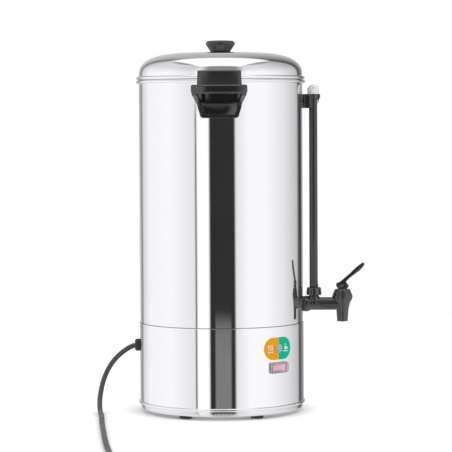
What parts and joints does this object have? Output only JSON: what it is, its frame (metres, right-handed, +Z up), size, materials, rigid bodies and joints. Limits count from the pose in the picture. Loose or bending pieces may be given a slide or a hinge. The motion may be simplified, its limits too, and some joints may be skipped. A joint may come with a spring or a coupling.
{
  "type": "hot water urn",
  "caption": "Tall polished steel hot water urn with a domed bayonet lid, black side handles, a lever tap with a sight gauge, an indicator plate, a booted rocker switch and a mains lead.",
  "frame": {"origin": "on the axis of the tank, at the surface that the feet stand on", "axes": "+Z up, +X towards the tap, -Y towards the near handle, with the cord gland at -X"},
  "size_m": [0.3917, 0.8565, 0.5421],
  "materials": {
    "polished_steel": "mirror polished stainless sheet",
    "pan_steel": "plain bright sheet",
    "fastener_steel": "zinc plated",
    "handle_plastic": "moulded phenolic, satin",
    "tap_plastic": "moulded, semi gloss",
    "guard_plastic": "extruded, gloss",
    "rubber": "matte",
    "gauge_glass": "clear tube",
    "cap_plastic": "natural white, slightly translucent",
    "indicator_print": "printed plate in two plain colours",
    "lens_plastic": "clear lens",
    "lamp_plastic": "moulded",
    "switch_plastic": "moulded",
    "rocker_plastic": "moulded, see-through red",
    "boot_silicone": "clear silicone",
    "aluminium": "cast plate",
    "element_sheath": "heat tinted sheath",
    "sensor_plastic": "phenolic",
    "cutout_ceramic": "steatite",
    "button_plastic": "moulded",
    "terminal_plastic": "nylon",
    "cord_rubber": "rubber sheath",
    "plug_plastic": "moulded",
    "plug_metal": "nickel plated"
  },
  "bodies": {
    "urn": {"tank": "polished_steel", "base_skirt": "polished_steel", "bottom_pan": "pan_steel", "foot_1": "rubber", "foot_2": "rubber", "foot_3": "rubber", "foot_4": "rubber", "foot_screws": "fastener_steel", "foot_nuts": "fastener_steel", "pan_screws": "fastener_steel", "handle_near": "handle_plastic", "handle_far": "handle_plastic", "handle_screws": "fastener_steel", "handle_washers": "rubber", "tap_body": "tap_plastic", "tap_wall_washer": "rubber", "tap_inner_washer": "rubber", "tap_lock_nut": "fastener_steel", "tap_bonnet": "tap_plastic", "tap_spring": "fastener_steel", "gauge_glass": "gauge_glass", "gauge_guard": "guard_plastic", "gauge_nut": "tap_plastic", "gauge_seal": "rubber", "gauge_bracket": "tap_plastic", "gauge_bracket_screw": "fastener_steel", "indicator_plate": "indicator_print", "lamp_lens": "lens_plastic", "lamp_body": "lamp_plastic", "lamp_nut": "lamp_plastic", "switch_body": "switch_plastic", "switch_boot": "boot_silicone", "heat_plate": "aluminium", "heating_element": "element_sheath", "element_clamp": "fastener_steel", "element_nut": "fastener_steel", "thermostat": "sensor_plastic", "thermal_cutout": "cutout_ceramic", "terminal_block": "terminal_plastic", "cord_gland": "rubber", "gland_nut": "lamp_plastic", "power_cord": "cord_rubber", "cord_coil": "cord_rubber", "plug_lead": "cord_rubber", "plug_body": "plug_plastic", "plug_pins": "plug_metal"},
    "lid_screw": {"lid_knob_screw": "fastener_steel"},
    "lid": {"lid_shell": "polished_steel", "lid_knob": "handle_plastic", "lid_knob_washer": "rubber"},
    "valve_stem": {"tap_stem": "fastener_steel", "tap_seat_cup": "rubber"},
    "lever": {"tap_lever": "tap_plastic", "tap_lever_pin": "fastener_steel"},
    "rocker": {"switch_rocker": "rocker_plastic"},
    "vent_cap": {"gauge_cap": "cap_plastic"},
    "cutout_button": {"reset_button": "button_plastic"}
  },
  "joints": [
    {"name": "lid_lift", "type": "slide", "parent": "urn", "child": "lid_screw", "axis": [0, 0, 1], "range_m": [0, 0.12]},
    {"name": "lid_turn", "type": "hinge", "parent": "lid_screw", "child": "lid", "pos_m": [0, 0, 0.484], "axis": [0, 0, 1], "range_deg": [0, 24]},
    {"name": "stem_lift", "type": "slide", "parent": "urn", "child": "valve_stem", "axis": [0, 0, 1], "range_m": [0, 0.0037], "deforming": ["tap_spring"]},
    {"name": "lever_pull", "type": "hinge", "parent": "valve_stem", "child": "lever", "pos_m": [0.1772, 0, 0.1827], "axis": [0, 1, 0], "range_deg": [0, 35], "stiffness_Nm_per_rad": 0.1, "springref_deg": -22.92},
    {"name": "rocker_tilt", "type": "hinge", "parent": "urn", "child": "rocker", "pos_m": [0.07809, -0.08374, 0.0722], "axis": [0, 0, 1], "range_deg": [0, 16]},
    {"name": "vent_cap_pull", "type": "slide", "parent": "urn", "child": "vent_cap", "axis": [0, 0, 1], "range_m": [0, 0.02]},
    {"name": "reset_press", "type": "slide", "parent": "urn", "child": "cutout_button", "axis": [0, 0, 1], "range_m": [0, 0.0015], "stiffness_N_per_m": 200}
  ],
  "couplings": [
    {"joint": "stem_lift", "follows": "lever_pull", "m_per_rad": 0.006}
  ]
}
